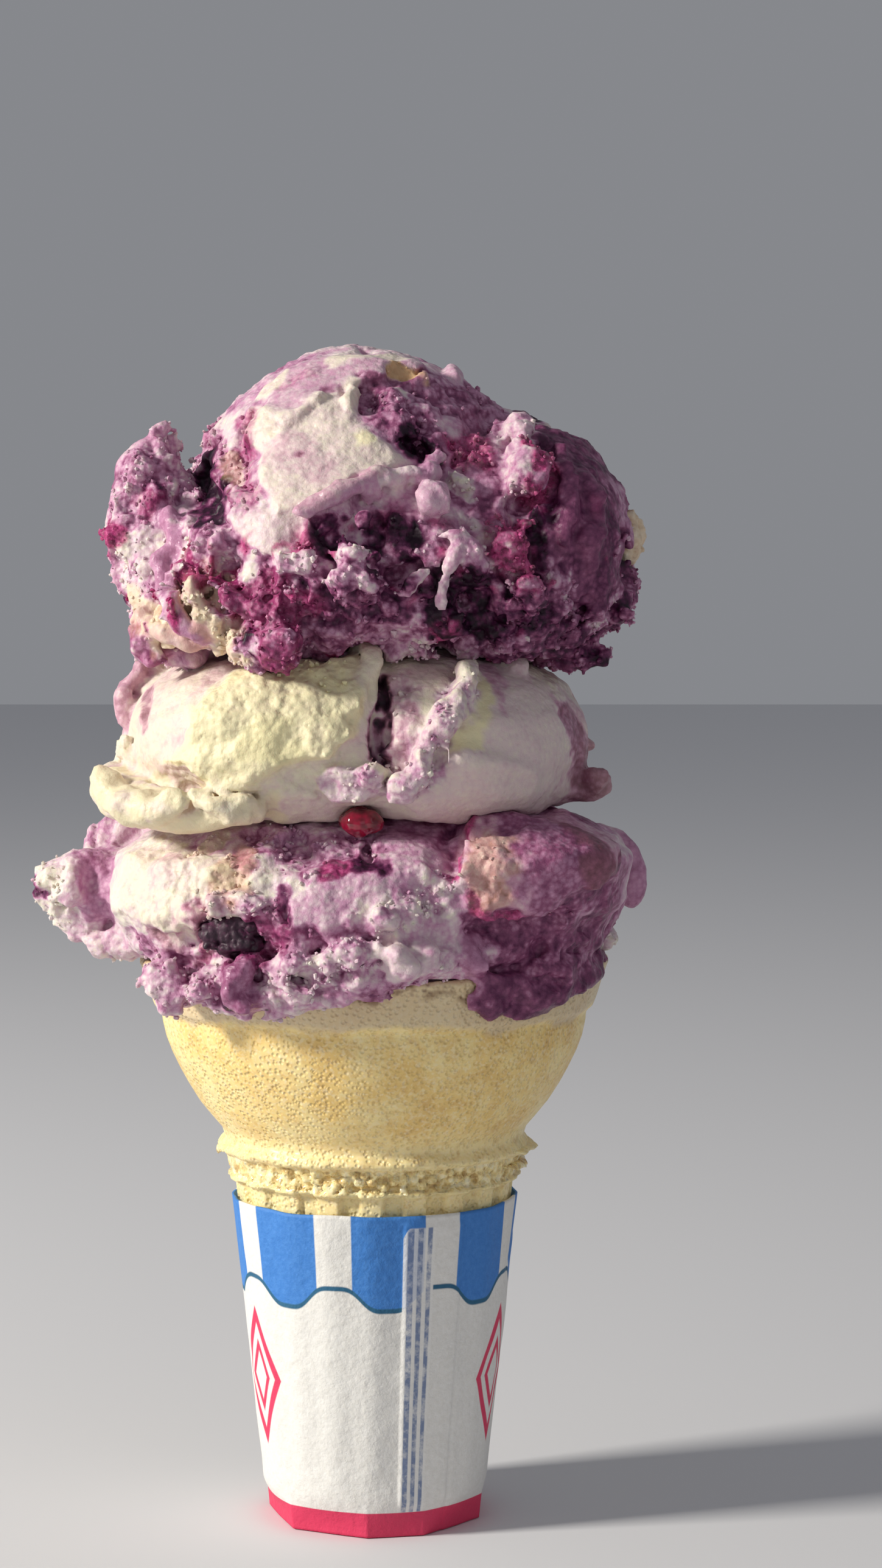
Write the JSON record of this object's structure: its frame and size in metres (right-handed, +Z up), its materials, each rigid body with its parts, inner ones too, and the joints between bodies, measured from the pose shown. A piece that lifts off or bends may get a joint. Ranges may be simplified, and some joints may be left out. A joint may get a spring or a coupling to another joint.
{
  "type": "ice cream cone",
  "caption": "Flat-bottomed wafer cone in a paper jacket, holding a tall stack of berry ice cream scoops; it stands on its own base.",
  "frame": {"origin": "centre of the jacket's flat base, on the surface that the cone stands on", "axes": "+Z up along the cone, -Y towards the side that shows in the picture, +X to its right"},
  "size_m": [0.0842, 0.0717, 0.159],
  "materials": {
    "jacket_paper": "uncoated paper, printed with stripes",
    "wafer": "baked, matte and finely pitted",
    "berry_cream": "frozen cream streaked with berry, half matte",
    "pale_cream": "frozen cream, half matte",
    "berry_skin": "dark berry skin",
    "berry_jelly_red": "glossy jelly",
    "baked_crust": "baked crumb, matte"
  },
  "bodies": {
    "root": {"paper_jacket": "jacket_paper", "wafer_cone": "wafer", "scoop_bottom": "berry_cream", "scoop_middle": "pale_cream", "scoop_top": "berry_cream", "blueberry": "berry_skin", "berry_jelly": "berry_jelly_red", "crust_chunk_left": "baked_crust", "crust_chunk_right": "baked_crust"}
  },
  "joints": []
}
